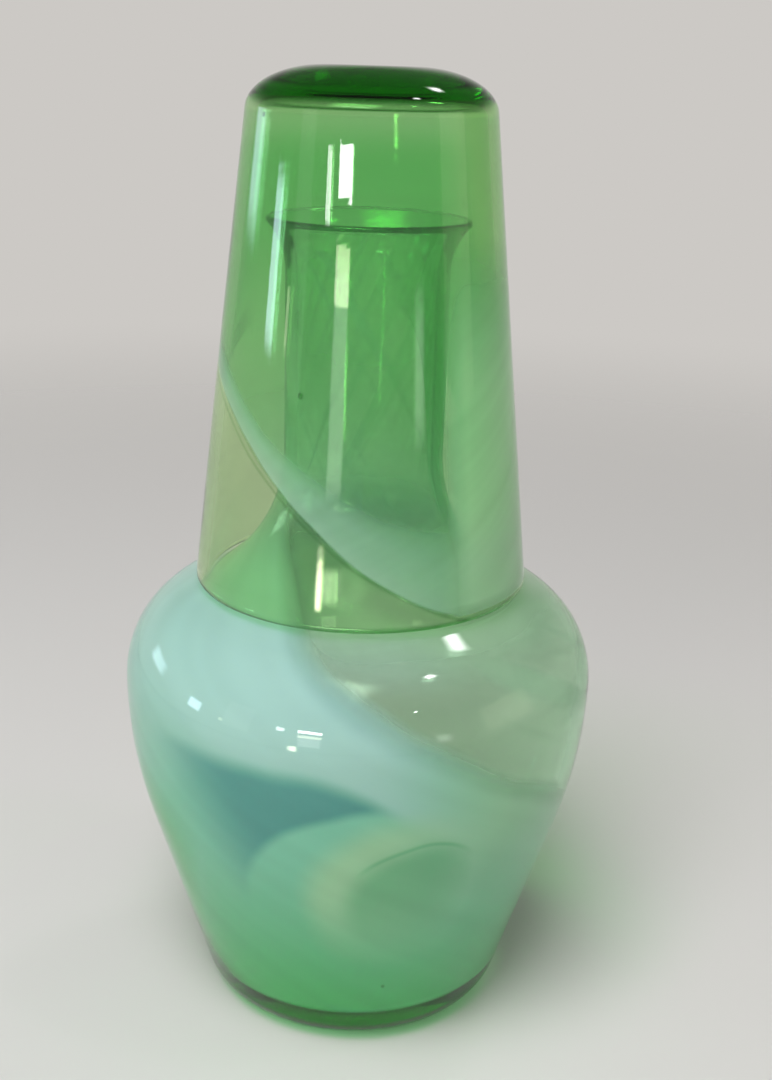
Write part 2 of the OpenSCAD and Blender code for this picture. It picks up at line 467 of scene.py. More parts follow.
class TumblerShape:
    """Outline of the upturned tumbler, which rests on the carafe."""

    def __init__(self, sizes, carafe):
        self.sizes = sizes
        lip = sizes.wall / 2
        self.normal = Vector((math.cos(sizes.taper), math.sin(sizes.taper)))
        rim_r = sizes.rim / 2 - lip
        self.rim_c = Vector((rim_r, carafe.seat(rim_r, lip + sizes.seat_gap)))
        self.floor_z = carafe.height + sizes.lip_gap
        self.top_z = self.floor_z + sizes.base
        self.middle = self.normal.dot(self.rim_c)
        heel_z = self.top_z - sizes.heel_height
        reach = math.hypot(sizes.heel_width * self.normal.x, sizes.heel_height * self.normal.y)
        flat_r = (self.middle + lip - reach - self.normal.y * heel_z) / self.normal.x
        self.heel_c = Vector((flat_r, heel_z))
        self.heel_a = math.atan(sizes.heel_height / sizes.heel_width * math.tan(sizes.taper))

    def inside_r(self, height, off=0.0):
        """Radius of the inside at this height, set in from the wall by off."""
        return (self.middle - self.sizes.wall / 2 - off - self.normal.y * height) / self.normal.x

    def outside(self):
        """Points from the middle of the base down to the rim."""
        s = self.sizes
        heel = [
            self.heel_c + Vector((s.heel_width * round_point.x, s.heel_height * round_point.y))
            for round_point in arc((0, 0), 1, QUARTER, self.heel_a, WALL_STEPS)
        ]
        top = [Vector((0, self.top_z)), Vector((self.heel_c.x / 2, self.top_z))]
        rim_top = self.rim_c + self.normal * s.wall / 2
        return top + heel + steps(heel[-1], rim_top, WALL_STEPS)

    def rim(self):
        """Points round the rim."""
        taper = self.sizes.taper
        return arc(self.rim_c, self.sizes.wall / 2, taper, taper - math.pi, EDGE_STEPS)

    def inside(self):
        """Points from the rim up to the middle of the floor."""
        s = self.sizes
        arc_z = self.floor_z - s.floor_round
        centre = Vector((self.inside_r(arc_z, s.floor_round), arc_z))
        corner = arc(centre, s.floor_round, s.taper, QUARTER, EDGE_STEPS)
        rim_in = self.rim_c - self.normal * s.wall / 2
        floor = [Vector((centre.x / 2, self.floor_z)), Vector((0, self.floor_z))]
        return steps(rim_in, corner[0], WALL_STEPS) + corner + floor


def blown(radius, turn, height, waver):
    """Radius of a blown wall, which wanders inwards by up to waver at WAVER_RADIUS."""
    waves = [part * math.sin(count * turn + rise * height + phase) for part, count, rise, phase in WAVES]
    return radius * (1 - (WAVER_MEAN + sum(waves)) * waver / WAVER_RADIUS)


def radius_on(profile, height):
    """Radius of a profile where it passes this height."""
    for start, end in zip(profile, profile[1:]):
        if min(start.y, end.y) <= height <= max(start.y, end.y) and start.y != end.y:
            return start.lerp(end, (height - start.y) / (end.y - start.y)).x
    raise ValueError("the profile doesn't reach this height")


def seeds_in(profile, seeds, waver):
    """Places and radii of the seeds in a wall."""
    out = []
    for turn_degrees, height_mm, size_mm in seeds:
        turn = math.radians(turn_degrees) - QUARTER
        height = height_mm * MM
        r = blown(radius_on(profile, height), turn, height, waver) - SEED_DEPTH
        out.append((Vector((r * math.cos(turn), r * math.sin(turn), height)), size_mm * MM))
    return out


def new_object(name, data):
    """An object in the scene."""
    made = bpy.data.objects.new(name, data)
    bpy.context.scene.collection.objects.link(made)
    return made


def mesh_object(name, bm, material):
    """An object in the scene, from a bmesh that is then given up."""
    mesh = bpy.data.meshes.new(name)
    bm.to_mesh(mesh)
    bm.free()
    mesh.materials.append(material)
    return new_object(name, mesh)


def new_piece(name, bm, body, node, material, seeds=()):
    """Makes a smooth piece with seeds in it, which rides on its body and stands for its CAD node."""
    bmesh.ops.recalc_face_normals(bm, faces=bm.faces[:])
    for place, size in seeds:
        shape = Matrix.Translation(place) @ Matrix.Diagonal((1, 1, SEED_STRETCH, 1))
        made = bmesh.ops.create_uvsphere(bm, u_segments=16, v_segments=10, radius=size, matrix=shape)
        bmesh.ops.reverse_faces(bm, faces=list({face for v in made["verts"] for face in v.link_faces}))
    piece = mesh_object(name, bm, material)
    piece.data.shade_smooth()
    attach(piece, body)
    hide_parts(node)


def ring(bm, point, count, waver):
    """One ring of vertices, or a single one on the axis."""
    if point.x < ON_AXIS:
        return [bm.verts.new((0, 0, point.y))]
    out = []
    for i in range(count):
        turn = TURN * i / count
        r = blown(point.x, turn, point.y, waver)
        out.append(bm.verts.new((r * math.cos(turn), r * math.sin(turn), point.y)))
    return out


def join(bm, low, high):
    """Faces between two rings."""
    count = max(len(low), len(high))
    for i in range(count):
        k = (i + 1) % count
        if len(low) == 1:
            bm.faces.new((low[0], high[i], high[k]))
        elif len(high) == 1:
            bm.faces.new((low[i], low[k], high[0]))
        else:
            bm.faces.new((low[i], low[k], high[k], high[i]))


def turned(profile, count, waver, closed=False):
    """A bmesh turned from a profile whose ends stay open, or which closed joins into a loop."""
    bm = bmesh.new()
    rings = [ring(bm, p, count, waver) for p in profile]
    for low, high in zip(rings, rings[1:]):
        join(bm, low, high)
    if closed:
        join(bm, rings[-1], rings[0])
    return bm


class Tree:
    """Short calls that add nodes to one tree and link them."""

    def __init__(self, tree):
        self.tree = tree
        self.tree.nodes.clear()

    def add(self, kind, inputs=(), **settings):
        """A node with its settings, and its inputs given as {socket: value or output socket}."""
        made = self.tree.nodes.new(kind)
        for key, value in settings.items():
            setattr(made, key, value)
        for key, value in dict(inputs).items():
            self.put(made.inputs[key], value)
        return made

    def put(self, socket, value):
        """Links an output socket, or sets a plain value."""
        if isinstance(value, bpy.types.NodeSocket):
            self.tree.links.new(value, socket)
        elif isinstance(value, tuple) and len(value) == 3 and socket.type == "RGBA":
            socket.default_value = (*value, 1)
        else:
            socket.default_value = value

    def math(self, operation, a, b=0.0, c=0.0):
        """A Math node's output."""
        return self.add("ShaderNodeMath", {0: a, 1: b, 2: c}, operation=operation).outputs[0]

    def chain(self, operation, first, *others):
        """A Math operation on several values, taken in order."""
        for other in others:
            first = self.math(operation, first, other)
        return first

    def scaled(self, value, factor, plus):
        """A value times a factor, plus another value."""
        return self.math("MULTIPLY_ADD", value, factor, plus)

    def minus(self, value, other):
        """A value less another."""
        return self.math("SUBTRACT", value, other)

    def times(self, *values):
        """The product of several values."""
        return self.chain("MULTIPLY", *values)

    def highest(self, *values):
        """The highest of several values."""
        return self.chain("MAXIMUM", *values)

    def soft(self, value, low, high):
        """A smooth step that is 0 at low and 1 at high."""
        inputs = {"Value": value, "From Min": low, "From Max": high}
        return self.add("ShaderNodeMapRange", inputs, interpolation_type="SMOOTHSTEP").outputs[0]

    def mix(self, share_of, a, b):
        """A mix of two colours."""
        inputs = {MIX_FACTOR: share_of, MIX_A: a, MIX_B: b}
        return self.add("ShaderNodeMix", inputs, data_type="RGBA").outputs[MIX_RESULT]

    def layered(self, under, layers):
        """A colour with others laid over it in order, each given as (mask, colour)."""
        tint = tuple(under)
        for mask, over in layers:
            tint = self.mix(mask, tint, tuple(over))
        return tint


def new_group(name, labels, build):
    """A node group with float inputs of these labels, whose outputs build gives by name."""
    tree = bpy.data.node_groups.new(name, "ShaderNodeTree")
    for label in labels:
        tree.interface.new_socket(label, in_out="INPUT", socket_type="NodeSocketFloat")
    nodes = Tree(tree)
    made = build(nodes, nodes.add("NodeGroupInput").outputs)
    for label in made:
        tree.interface.new_socket(label, in_out="OUTPUT", socket_type="NodeSocketFloat")
    nodes.add("NodeGroupOutput", made)
    return tree


def use_group(nodes, name, build, inputs):
    """Places a node group with its own values. It is built where it is used first."""
    tree = bpy.data.node_groups.get(name) or new_group(name, inputs, build)
    return nodes.add("ShaderNodeGroup", inputs, node_tree=tree).outputs


def wall_place_nodes(nodes, given):
    """Degrees from the front, millimetres up without and with a slow waver, and the grain of the waver."""
    place = nodes.add("ShaderNodeTexCoord").outputs["Object"]
    xyz = nodes.add("ShaderNodeSeparateXYZ", {0: place}).outputs
    turn = nodes.math("DEGREES", nodes.math("ARCTAN2", xyz[0], nodes.times(xyz[1], -1.0)))
    inputs = {"Vector": place, "Scale": given["Waver scale"], "Detail": 2.0}
    grain = nodes.add("ShaderNodeTexNoise", inputs).outputs[0]
    level = nodes.times(xyz[2], 1 / MM)
    height = nodes.scaled(nodes.minus(grain, NOISE_MEAN), given["Waver"], level)
    return {"Angle": turn, "Level": level, "Height": height, "Grain": grain}


def wall_place(nodes, marks):
    """Where a point lies on a round wall, with the waver that these marks give."""
    inputs = {"Waver": marks.waver, "Waver scale": marks.waver_scale}
    return use_group(nodes, "Wall place", wall_place_nodes, inputs)


def round_patch_nodes(nodes, given):
    """A mask that is 1 within a radius, in millimetres along the wall."""
    turn = nodes.minus(given["Angle"], given["Centre angle"])
    across = nodes.times(turn, given["Width per degree"])
    up = nodes.minus(given["Height"], given["Centre height"])
    away = nodes.math("SQRT", nodes.scaled(across, across, nodes.times(up, up)))
    inner = nodes.minus(given["Radius"], given["Blur"])
    outer = nodes.math("ADD", given["Radius"], given["Blur"])
    return {"Inside": nodes.soft(away, outer, inner)}


def round_patch(nodes, place, centre_angle, centre_height, radius, blur):
    """A soft round patch on a wall."""
    inputs = {
        "Angle": place["Angle"],
        "Height": place["Height"],
        "Centre angle": centre_angle,
        "Centre height": centre_height,
        "Width per degree": CarafeSwirl.degree,
        "Radius": radius,
        "Blur": blur,
    }
    return use_group(nodes, "Round patch", round_patch_nodes, inputs)["Inside"]


def streak_nodes(nodes, given):
    """Streaks that follow a swirl which climbs by one lead in a turn."""
    climbed = nodes.math("DIVIDE", given["Height"], given["Lead"])
    turns = nodes.math("ADD", climbed, nodes.math("DIVIDE", given["Angle"], FULL_CIRCLE))
    phase = nodes.times(turns, TURN)
    x = nodes.times(nodes.math("COSINE", phase), given["Fineness"])
    y = nodes.times(nodes.math("SINE", phase), given["Fineness"])
    z = nodes.math("DIVIDE", given["Height"], given["Length"])
    place = nodes.add("ShaderNodeCombineXYZ", {0: x, 1: y, 2: z}).outputs[0]
    noise = nodes.add("ShaderNodeTexNoise", {"Vector": place, "Scale": 1.0, "Detail": 1.0})
    return {"Streaks": noise.outputs[0]}


def swirl_streaks(nodes, place, lead):
    """Streaks along a swirl of this lead."""
    inputs = {
        "Angle": place["Angle"],
        "Height": place["Height"],
        "Lead": lead,
        "Fineness": STREAK_FINENESS,
        "Length": STREAK_LENGTH,
    }
    return use_group(nodes, "Swirl streaks", streak_nodes, inputs)["Streaks"]


def area(nodes, place, turn_span, height_span):
    """A soft area of a wall, within a span of angles and a span of heights."""
    return nodes.times(nodes.soft(place["Angle"], *turn_span), nodes.soft(place["Height"], *height_span))


def new_material(name):
    """An empty node material as (material, tree helper, output node)."""
    material = bpy.data.materials.new(name)
    material.use_nodes = True
    nodes = Tree(material.node_tree)
    return material, nodes, nodes.add("ShaderNodeOutputMaterial")


def glass_shader(nodes, output, tint, streaks, grain, depth_colour, depth):
    """Clear glass with a tint, and with a colour that grows with its thickness."""
    wave = nodes.add("ShaderNodeBump", {"Strength": 0.1, "Distance": 0.002, "Height": grain})
    inputs = {"Strength": 0.02, "Distance": 0.0006, "Height": streaks, "Normal": wave.outputs[0]}
    bump = nodes.add("ShaderNodeBump", inputs)
    inputs = {
        "Base Color": tint,
        "Roughness": 0.012,
        "IOR": 1.5,
        "Transmission Weight": 1.0,
        "Normal": bump.outputs[0],
    }
    shown = nodes.add("ShaderNodeBsdfPrincipled", inputs)
    through = nodes.add("ShaderNodeBsdfTransparent", {"Color": SHADOW_TINT})
    rays = nodes.add("ShaderNodeLightPath").outputs
    for ray in ("Is Shadow Ray", "Is Diffuse Ray"):
        inputs = {0: rays[ray], 1: shown.outputs[0], 2: through.outputs[0]}
        shown = nodes.add("ShaderNodeMixShader", inputs)
    volume = nodes.add("ShaderNodeVolumeAbsorption", {"Color": tuple(depth_colour), "Density": depth})
    nodes.put(output.inputs["Surface"], shown.outputs[0])
    nodes.put(output.inputs["Volume"], volume.outputs[0])


def opal_shader(nodes, output, tint, solid):
    """Milky glass that scatters light within itself, and is clear where solid is 0."""
    inputs = {
        "Base Color": tint,
        "Roughness": 0.6,
        "IOR": 1.02,
        "Alpha": solid,
        "Subsurface Weight": 0.6,
        "Subsurface Radius": (1.0, 1.0, 1.0),
        "Subsurface Scale": 0.4 * MM,
    }
    opal = nodes.add("ShaderNodeBsdfPrincipled", inputs)
    nodes.put(output.inputs["Surface"], opal.outputs[0])


def carafe_glass_material(finish, floor):
    """Pale glass, greener towards the foot and paler up the neck, over a floor at this height."""
    marks = CarafeTints
    material, nodes, output = new_material("carafe glass")
    place = wall_place(nodes, marks)
    level = place["Level"]
    streaks = swirl_streaks(nodes, place, CarafeSwirl.lead)
    spot = nodes.add("ShaderNodeTexCoord").outputs["Object"]
    inputs = {"Vector": spot, "Scale": marks.ripple_scale, "Detail": 1.0}
    ripple = nodes.times(
        nodes.add("ShaderNodeTexNoise", inputs).outputs[0],
        nodes.soft(level, *marks.ripple_low),
        nodes.soft(level, *marks.ripple_high),
    )
    grain = nodes.scaled(ripple, marks.ripple_share, place["Grain"])
    layers = (
        (nodes.soft(place["Height"], *marks.foot_height), finish.green_tint),
        (nodes.soft(level, *marks.neck_height), finish.neck_tint),
        (nodes.soft(nodes.minus(level, floor), *marks.base_floor), finish.foot_tint),
    )
    tint = nodes.layered(finish.grey_tint, layers)
    glass_shader(nodes, output, tint, streaks, grain, finish.carafe_depth_colour, finish.carafe_depth)
    return material


def carafe_ribbon(nodes, place):
    """The bright ribbon over the curl of the carafe's swirl, and the teal wedge of thin opal under it, whose
    upper edge is a painted reflection, as two masks.
    """
    marks = CarafeSwirl
    turn = place["Angle"]
    height = place["Height"]
    raised = nodes.math("ADD", height, marks.brow_lift)
    slanted = nodes.scaled(turn, marks.brow_slope, raised)
    brow = nodes.math("SMOOTH_MAX", height, slanted, marks.brow_blend)
    spread = nodes.soft(turn, *marks.spread_turn)
    low = nodes.scaled(spread, marks.spread_low, marks.brow_low)
    high = nodes.scaled(spread, marks.spread_high, marks.brow_high)
    ribbon = nodes.times(nodes.soft(brow, low, high), nodes.soft(turn, *marks.ribbon_turn))
    dropped = nodes.minus(height, marks.wedge_drop)
    # The teal wedge of thin opal, whose upper edge along the brow is a painted reflection.
    wedge_with_painted_edge = nodes.times(
        nodes.soft(nodes.scaled(turn, marks.wedge_slope, dropped), *marks.wedge_steep),
        nodes.soft(brow, *marks.wedge_painted_edge),
        nodes.soft(turn, *marks.wedge_turn),
        nodes.minus(1.0, round_patch(nodes, place, *marks.lobe)),
    )
    return ribbon, wedge_with_painted_edge


def carafe_opal_tint(nodes, finish, place, helix, ribbon, wedge_with_painted_edge, collar):
    """Colour of the carafe's opal, with painted shade low down and on the lower right."""
    marks = CarafeSwirl
    turn = place["Angle"]
    height = place["Height"]
    side = area(nodes, place, marks.side_turn, marks.side_height)
    sunny = area(nodes, place, marks.sunny_turn, marks.sunny_height)
    # shade is painted shade on the lower right of the body.
    shade = area(nodes, place, marks.painted_shade_turn, marks.painted_shade_height)
    fringe = nodes.times(nodes.soft(helix, *marks.fringe_edge), nodes.soft(turn, *marks.fringe_turn))
    curl = nodes.soft(height, *marks.curl_height)
    warm = nodes.times(round_patch(nodes, place, *marks.ring), curl, nodes.soft(turn, *marks.ring_turn))
    core = nodes.times(round_patch(nodes, place, *marks.core), curl, nodes.soft(turn, *marks.core_turn))
    crest = round_patch(nodes, place, *marks.crest)
    rim = nodes.times(
        crest,
        nodes.minus(1.0, crest),
        area(nodes, place, marks.crest_turn, marks.crest_height),
    )
    # Greener towards the foot, partly painted shade, and greener on the lower left side.
    deep = nodes.highest(nodes.soft(height, *marks.foot_green_and_shade_height), nodes.times(side, marks.side_share))
    # dim is the swirl's darker core together with the painted shade on the lower right.
    dim = nodes.highest(nodes.times(core, marks.core_share), nodes.times(shade, marks.painted_shade_share))
    layers = (
        (deep, finish.opal_green),
        (nodes.times(ribbon, marks.ribbon_share), finish.opal_white),
        (nodes.times(sunny, marks.sunny_share), finish.opal_cream),
        (nodes.times(fringe, marks.fringe_share), finish.opal_teal),
        (nodes.times(wedge_with_painted_edge, marks.wedge_share), finish.opal_teal),
        (nodes.times(warm, marks.ring_share), finish.opal_cream),
        (dim, finish.opal_moss),
        (nodes.times(rim, marks.crest_share), finish.opal_moss),
        (nodes.times(collar, marks.collar_share), finish.opal_cream),
    )
    return nodes.layered(finish.opal_mint, layers)


def carafe_opal_cover(nodes, place, floor, helix, streaks, wedge_with_painted_edge, collar):
    """How solid the carafe's opal is: the winding band, and a faint haze above it and in the neck."""
    marks = CarafeSwirl
    height = place["Height"]
    level = place["Level"]
    dense = nodes.scaled(wedge_with_painted_edge, -marks.wedge_loss, marks.density)
    streaky = nodes.minus(streaks, NOISE_MEAN)
    band = nodes.times(
        nodes.soft(helix, *marks.band_high),
        nodes.soft(helix, *marks.band_low),
        nodes.soft(height, *marks.band_height),
        nodes.soft(nodes.minus(level, floor), *marks.band_floor),
        nodes.scaled(streaky, marks.streak_share, dense),
    )
    neck = nodes.times(nodes.soft(height, *marks.neck_low), nodes.soft(level, *marks.neck_high), streaks)
    wisps = nodes.times(nodes.soft(streaks, *marks.wisp_streaks), nodes.soft(height, *marks.wisp_height))
    return nodes.highest(
        band,
        nodes.times(neck, marks.neck_haze),
        nodes.times(wisps, marks.wisp_haze),
        nodes.times(collar, marks.collar_haze),
    )


def carafe_opal_material(finish, floor):
    """Opal of the carafe: a broad band that winds down to the right and curls into rings at the front."""
    marks = CarafeSwirl
    material, nodes, output = new_material("carafe opal")
    place = wall_place(nodes, marks)
    height = place["Height"]
    streaks = swirl_streaks(nodes, place, marks.lead)
    unwound = nodes.scaled(place["Angle"], marks.lead / FULL_CIRCLE, height)
    helix = nodes.math("WRAP", unwound, marks.helix_low + marks.lead, marks.helix_low)
    ribbon, wedge_with_painted_edge = carafe_ribbon(nodes, place)
    collar = nodes.times(
        nodes.soft(height, *marks.collar_high),
        nodes.soft(height, *marks.collar_low),
        nodes.soft(helix, *marks.collar_edge),
    )
    tint = carafe_opal_tint(nodes, finish, place, helix, ribbon, wedge_with_painted_edge, collar)
    opal_shader(nodes, output, tint, carafe_opal_cover(nodes, place, floor, helix, streaks, wedge_with_painted_edge, collar))
    return material


def tumbler_edge(nodes, place):
    """How far a point stands above the edge of the tumbler's clear glass, in millimetres."""
    edge = TumblerSwirl.edge_height
    for middle, width, drop in (TumblerSwirl.edge_fall, TumblerSwirl.edge_climb):
        along = nodes.scaled(place["Angle"], 1 / width, -middle / width)
        edge = nodes.scaled(nodes.math("TANH", along), -drop, edge)
    return nodes.minus(place["Height"], edge)


def tumbler_glass_material(finish, floor):
    """Glass that is pale below the edge of the swirl and green above it, under a floor at this height."""
    marks = TumblerTints
    material, nodes, output = new_material("tumbler glass")
    place = wall_place(nodes, marks)
    turn = place["Angle"]
    height = place["Height"]
    streaks = swirl_streaks(nodes, place, TumblerSwirl.lead)
    above = tumbler_edge(nodes, place)
    over_floor = nodes.minus(place["Level"], floor)
    back = nodes.soft(nodes.math("ABSOLUTE", turn), *marks.back_turn)
    low = nodes.scaled(back, marks.rise_low_back, marks.rise_low)
    high = nodes.scaled(back, marks.rise_high_back, marks.rise_high)
    # Painted reflection: a lighter olive band on the upper right, paler and less green.
    painted_reflection = nodes.times(nodes.soft(turn, *marks.reflection_start), nodes.soft(turn, *marks.reflection_end))
    # Painted light: a paler band just under the base, where light refracts through it.
    painted_light_under_base = nodes.times(
        nodes.soft(over_floor, *marks.light_under_base_low),
        nodes.soft(over_floor, *marks.light_under_base_high),
    )
    green = nodes.times(
        nodes.soft(above, low, high),
        nodes.soft(height, *marks.green_height),
        nodes.scaled(painted_reflection, -marks.reflection_loss, 1.0),
        nodes.scaled(painted_light_under_base, -marks.light_under_base_loss, 1.0),
    )
    line = nodes.times(
        nodes.soft(above, *marks.line_low),
        nodes.soft(above, *marks.line_high),
        nodes.scaled(back, -marks.line_share, marks.line_share),
    )
    layers = (
        (green, finish.green_tint),
        (nodes.times(painted_reflection, nodes.soft(height, *marks.reflection_height)), finish.olive_reflection_tint),
        (line, finish.line_tint),
        (nodes.soft(over_floor, *marks.base_floor), finish.base_tint),
    )
    tint = nodes.layered(finish.clear_tint, layers)
    depth_colour = finish.tumbler_depth_colour
    glass_shader(nodes, output, tint, streaks, place["Grain"], depth_colour, finish.tumbler_depth)
    return material


def tumbler_opal_material(finish):
    """Opal of the tumbler: a ribbon along the edge of the clear glass, and a veil above it."""
    marks = TumblerSwirl
    material, nodes, output = new_material("tumbler opal")
    place = wall_place(nodes, marks)
    turn = place["Angle"]
    height = place["Height"]
    streaks = swirl_streaks(nodes, place, marks.lead)
    above = tumbler_edge(nodes, place)
    veil = nodes.soft(above, *marks.veil_rise)
    front = nodes.soft(nodes.math("ABSOLUTE", turn), *marks.front_turn)
    grown = nodes.scaled(turn, marks.ribbon_growth, marks.ribbon_width)
    width = nodes.highest(grown, marks.ribbon_least)
    ribbon = nodes.times(veil, nodes.soft(above, width, nodes.times(width, marks.ribbon_core)), front)
    milky = nodes.times(
        nodes.soft(turn, *marks.milky_start),
        nodes.soft(height, *marks.milky_height),
        nodes.soft(turn, *marks.milky_end),
    )
    bright = nodes.soft(turn, *marks.bright_turn)
    bright = nodes.scaled(bright, marks.bright_share, marks.bright_share)
    layers = (
        (nodes.soft(height, *marks.green_height), finish.opal_green),
        (milky, finish.opal_veil),
        (nodes.times(ribbon, bright), finish.opal_white),
    )
    haze = nodes.soft(height, *marks.haze_height)
    haze = nodes.scaled(haze, marks.haze_growth, marks.haze_least)
    dense = nodes.highest(
        nodes.times(ribbon, marks.ribbon_density),
        nodes.times(milky, marks.milky_density),
        nodes.times(haze, front),
    )
    streaky = nodes.scaled(streaks, marks.streak_share, marks.streak_least)
    tint = nodes.layered(finish.opal_mint, layers)
    opal_shader(nodes, output, tint, nodes.times(dense, streaky, veil))
    return material


class CARAFE_OT_carafe(bpy.types.Operator):
    """Blow the carafe and its opal band"""

    bl_idname = "carafe.carafe"
    bl_label = "Carafe"

    def execute(self, context):
        sizes = context.scene.carafe_sizes
        finish = context.scene.glass_finish
        shape = CarafeShape(sizes)
        floor = sizes.base / MM
        profile = shape.outside() + shape.lip() + shape.inside()
        bm = turned(profile, finish.segments, finish.waver)
        seeds = seeds_in(shape.outside(), CARAFE_SEEDS, finish.waver)
        material = carafe_glass_material(finish, floor)
        new_piece("carafe_vessel", bm, "carafe", "carafe_glass", material, seeds)
        top = shape.lip_c.y - OPAL_LIP_GAP
        outer = [p for p in shape.inside(-finish.opal_depth - finish.opal_layer) if p.y < top]
        inner = [p for p in shape.inside(-finish.opal_depth) if p.y < top]
        bm = turned(outer[::-1] + inner, finish.segments, finish.waver)
        material = carafe_opal_material(finish, floor)
        new_piece("carafe_opal", bm, "carafe", "carafe_opal_swirl", material)
        return {"FINISHED"}


class CARAFE_OT_tumbler(bpy.types.Operator):
    """Blow the tumbler and its opal ribbon"""

    bl_idname = "carafe.tumbler"
    bl_label = "Tumbler"

    def execute(self, context):
        sizes = context.scene.tumbler_sizes
        finish = context.scene.glass_finish
        shape = TumblerShape(sizes, CarafeShape(context.scene.carafe_sizes))
        profile = shape.outside() + shape.rim() + shape.inside()
        bm = turned(profile, finish.segments, finish.waver)
        seeds = seeds_in(shape.outside(), TUMBLER_SEEDS, finish.waver)
        material = tumbler_glass_material(finish, shape.floor_z / MM)
        new_piece("tumbler_vessel", bm, "tumbler", "tumbler_glass", material, seeds)
        low = shape.rim_c.y + OPAL_RIM_GAP
        high = shape.floor_z - sizes.floor_round
        heights = [low + (high - low) * i / OPAL_STEPS for i in range(OPAL_STEPS + 1)]
        outer = [Vector((shape.inside_r(z, -finish.opal_depth - finish.opal_layer), z)) for z in heights]
        inner = [Vector((shape.inside_r(z, -finish.opal_depth), z)) for z in heights]
        bm = turned(outer + inner[::-1], finish.segments, finish.waver, closed=True)
        material = tumbler_opal_material(finish)
        new_piece("tumbler_opal", bm, "tumbler", "tumbler_opal_swirl", material)
        return {"FINISHED"}


class SoftBox(NamedTuple):
    """A soft box aimed at the set: where it hangs in degrees round and up, its size in metres, and its light.

    Edge is the share of its width and height over which it fades.
    """

    name: str
    azimuth: float
    elevation: float
    width: float
    height: float
    radiance: float
    edge: float = 0.15
    tone: tuple = WHITE
    distance: float = 1.2
    spread: float = 180.0
    mirrored: bool = True


SOFT_BOXES = (
    SoftBox("front pane", -20.5, 10.5, 0.25, 0.06, 24.0, 0.06),
    SoftBox("sun pane", -20.5, 5.8, 0.25, 0.063, 8.0, 0.08, SUN),
    SoftBox("front strip", -20.5, 0.8, 0.25, 0.26, 2.5),
    SoftBox("low strip", -27.0, -11.0, 0.05, 0.06, 3.0, 0.4, SUN, distance=0.5, spread=70.0),
    SoftBox("thin strip", -34.5, 9.5, 0.09, 0.08, 14.0, 0.1),
    SoftBox("left strip", -80.0, 3.5, 0.2, 0.2, 10.0, 0.2, SKY),
    SoftBox("back left", -114.0, 6.0, 0.42, 0.22, 4.0, 0.3, SKY),
    SoftBox("left pane", -64.0, 1.9, 0.06, 0.07, 4.0, 0.2, SUN),
    SoftBox("right strip", 40.0, 1.0, 0.2, 0.2, 2.0, 0.3),
    SoftBox("right sheet", 75.0, 8.0, 0.6, 0.5, 0.6, 0.04, SUN),
    SoftBox("left sheet", -56.0, 10.0, 0.3, 0.5, 0.4, 0.04),
    SoftBox("back spot", 134.0, 57.0, 0.28, 0.17, 22.0, 0.5),
    SoftBox("right spot", 66.0, 62.0, 0.15, 0.12, 36.0, 0.5),
    SoftBox("front spot", 31.0, 32.0, 0.03, 0.03, 40.0),
    SoftBox("fill", -25.0, 62.0, 0.9, 0.7, 15.0, 0.3, mirrored=False),
)


def hang(box):
    """Hangs one soft box in the studio."""
    az = math.radians(box.azimuth)
    el = math.radians(box.elevation)
    way = Vector((math.sin(az) * math.cos(el), -math.cos(az) * math.cos(el), math.sin(el)))
    lamp = bpy.data.lights.new(box.name, "AREA")
    lamp.shape = "RECTANGLE"
    lamp.size = box.width
    lamp.size_y = box.height
    lamp.energy = box.radiance * math.pi * box.width * box.height
    lamp.color = box.tone
    lamp.spread = math.radians(box.spread)
    lamp.use_nodes = True
    nodes = Tree(lamp.node_tree)
    spot = nodes.add("ShaderNodeNewGeometry").outputs["Parametric"]
    across = nodes.add("ShaderNodeSeparateXYZ", {0: spot}).outputs
    fades = [nodes.soft(nodes.math("PINGPONG", side, 0.5), 0.0, box.edge) for side in across[:2]]
    glow = nodes.add("ShaderNodeEmission", {"Strength": nodes.times(*fades)})
    nodes.put(nodes.add("ShaderNodeOutputLight").inputs["Surface"], glow.outputs[0])
    made = new_object(box.name, lamp)
    made.location = LIT_POINT + way * box.distance
    made.rotation_euler = way.to_track_quat("Z", "Y").to_euler()
    made.visible_camera = False
    made.visible_glossy = box.mirrored


